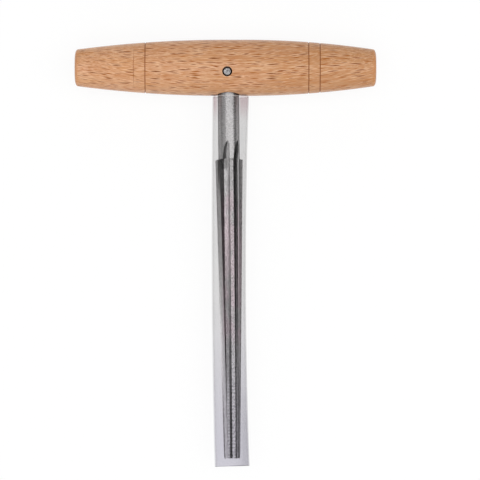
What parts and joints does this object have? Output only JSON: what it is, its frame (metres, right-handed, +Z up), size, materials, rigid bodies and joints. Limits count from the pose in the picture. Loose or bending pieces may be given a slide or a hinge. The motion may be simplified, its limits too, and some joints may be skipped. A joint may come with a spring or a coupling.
{
  "type": "taper reamer",
  "caption": "T-handled taper reamer: a turned beech handle cross-pinned to a straight-fluted tapered steel reamer, kept in a clear plastic sleeve that slides off the tip.",
  "frame": {"origin": "middle of the footprint of the tool lying flat, on the table under the handle's belly", "axes": "+X along the handle to the right, +Y from the reamer's tip towards the handle, +Z up"},
  "size_m": [0.1056, 0.1496, 0.0197],
  "materials": {
    "beech": "fine sanded, unlacquered, with short dark ray flecks",
    "tool_steel": "satin ground steel, darker in the flutes",
    "pin_steel": "cut steel end, dull",
    "clear_plastic": "clear soft plastic, faintly grey"
  },
  "bodies": {
    "tool": {"handle": "beech", "reamer": "tool_steel", "cross_pin": "pin_steel"},
    "sleeve": {"protective_sleeve": "clear_plastic"}
  },
  "joints": [
    {"name": "sleeve_slide", "type": "slide", "parent": "tool", "child": "sleeve", "axis": [0.0105, -0.9999, 0], "range_m": [0, 0.13]}
  ]
}
